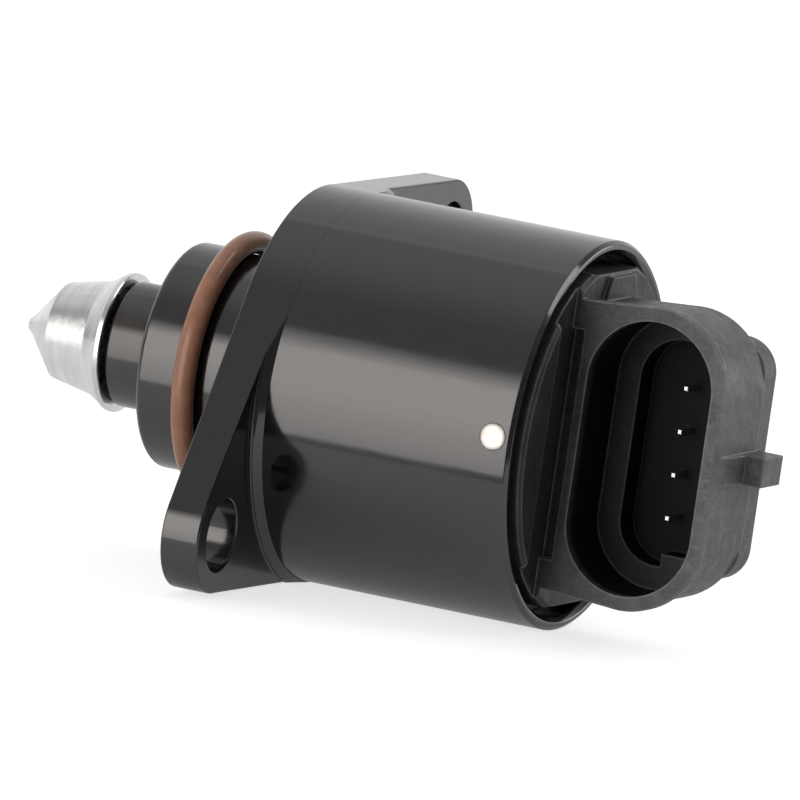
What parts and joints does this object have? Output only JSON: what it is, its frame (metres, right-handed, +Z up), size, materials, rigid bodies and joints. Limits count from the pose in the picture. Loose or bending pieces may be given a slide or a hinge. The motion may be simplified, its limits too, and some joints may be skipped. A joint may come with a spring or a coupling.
{
  "type": "idle air control valve",
  "caption": "Idle air control valve: stepper motor body with a two-lug flange, sealed spigot, sliding conical pintle and a right-angle connector.",
  "frame": {"origin": "centre of the flange's mounting face, on the valve axis", "axes": "X along the valve axis with the pintle towards -X; Z up along the connector's long side; the connector opens towards -Y. The valve lies on the flange's lower edge and the body's underside, as pictured"},
  "size_m": [0.0736, 0.0546, 0.036],
  "materials": {
    "anodised_black": "glossy black anodised",
    "ring_rubber": "satin terracotta",
    "guide_plastic": "satin dark brown grey",
    "black_rubber": "matte",
    "spacer_aluminium": "turned",
    "pintle_plating": "bright nickel plate",
    "bearing_steel": "ground",
    "hub_plastic": "natural moulded",
    "ferrite": "sintered",
    "ball_chrome": "polished",
    "cage_brass": "turned",
    "pole_steel": "pressed sheet",
    "former_plastic": "natural moulded",
    "coil_wire": "enamelled copper",
    "board": "laminate",
    "connector_plastic": "glass-filled, dark grey",
    "tinned_brass": "tin plated",
    "pin_steel": "bare"
  },
  "bodies": {
    "housing": {"flange_head": "anodised_black", "motor_can": "anodised_black", "spigot_o_ring": "ring_rubber", "nose_guide": "guide_plastic", "stem_seal": "black_rubber", "spacer_sleeve": "spacer_aluminium", "front_outer_race": "bearing_steel", "rear_outer_race": "bearing_steel", "wave_washer": "bearing_steel", "front_pole_cup": "pole_steel", "front_pole_plate": "pole_steel", "rear_pole_plate": "pole_steel", "rear_pole_cup": "pole_steel", "front_coil_former": "former_plastic", "rear_coil_former": "former_plastic", "front_coil": "coil_wire", "rear_coil": "coil_wire", "link_board": "board", "coil_leads": "coil_wire", "end_cap": "connector_plastic", "cap_seal": "black_rubber", "terminals": "tinned_brass", "lock_pins": "pin_steel"},
    "rotor": {"rotor_hub": "hub_plastic", "rotor_magnet": "ferrite", "front_inner_race": "bearing_steel", "rear_inner_race": "bearing_steel"},
    "slider": {"pintle": "pintle_plating", "spindle": "bearing_steel"},
    "front_ball_set": {"front_balls": "ball_chrome", "front_cage": "cage_brass"},
    "rear_ball_set": {"rear_balls": "ball_chrome", "rear_cage": "cage_brass"}
  },
  "joints": [
    {"name": "rotor_spin", "type": "hinge", "parent": "housing", "child": "rotor", "pos_m": [0.0155, 0, 0], "axis": [1, 0, 0], "range_deg": [0, 2880.01]},
    {"name": "pintle_slide", "type": "slide", "parent": "housing", "child": "slider", "axis": [-1, 0, 0], "range_m": [0, 0.008]},
    {"name": "front_ball_orbit", "type": "hinge", "parent": "housing", "child": "front_ball_set", "pos_m": [0.0054, 0, 0], "axis": [1, 0, 0], "range_deg": [0, 1180]},
    {"name": "rear_ball_orbit", "type": "hinge", "parent": "housing", "child": "rear_ball_set", "pos_m": [0.026, 0, 0], "axis": [1, 0, 0], "range_deg": [0, 1180]}
  ],
  "couplings": [
    {"joint": "rotor_spin", "follows": "pintle_slide", "rad_per_m": 6283.2},
    {"joint": "front_ball_orbit", "follows": "pintle_slide", "rad_per_m": 2565.6},
    {"joint": "rear_ball_orbit", "follows": "pintle_slide", "rad_per_m": 2565.6}
  ]
}
